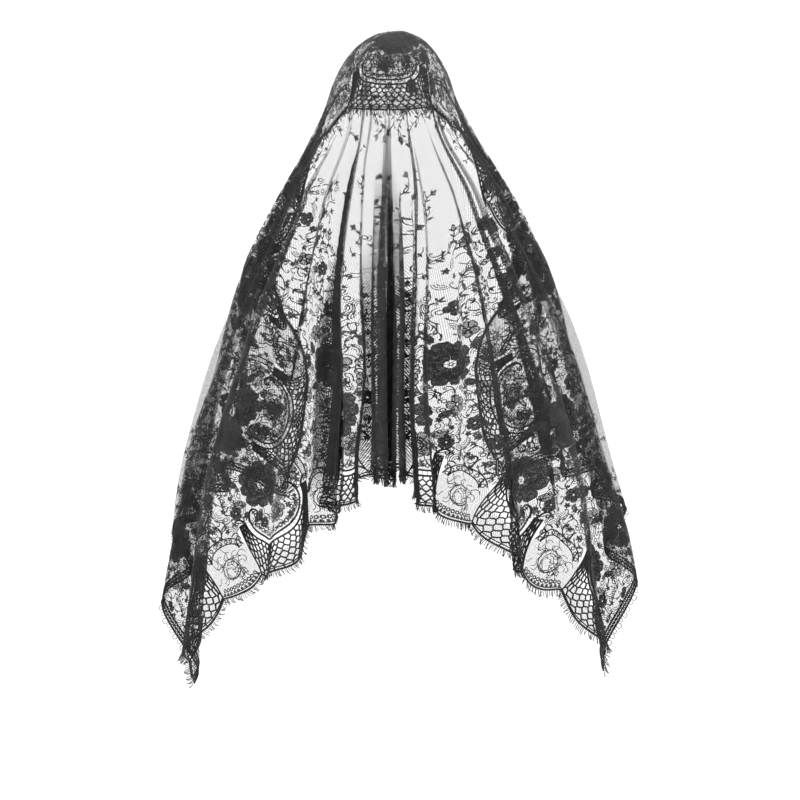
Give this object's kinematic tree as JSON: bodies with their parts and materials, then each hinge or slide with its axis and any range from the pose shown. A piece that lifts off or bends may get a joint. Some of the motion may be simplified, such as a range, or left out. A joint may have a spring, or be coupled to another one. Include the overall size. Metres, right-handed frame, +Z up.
{
  "type": "mantilla veil of black floral lace",
  "caption": "Rectangular black lace veil draped over the crown, hanging in folds to scalloped borders, open at the front.",
  "frame": {"origin": "crown of the head under the lace, where the veil sits", "axes": "+Z up, +Y the way the wearer faces, +X to the wearer's right hand"},
  "size_m": [0.667, 0.3228, 0.9311],
  "materials": {
    "lace_ground": "fine black net with woven flowers",
    "lace_border": "black corded lace with eyelash threads",
    "lace_edging": "narrow black picot edging"
  },
  "bodies": {
    "root": {"lace_field": "lace_ground", "back_border": "lace_border", "front_border": "lace_border", "left_edging": "lace_edging", "right_edging": "lace_edging"}
  },
  "joints": []
}
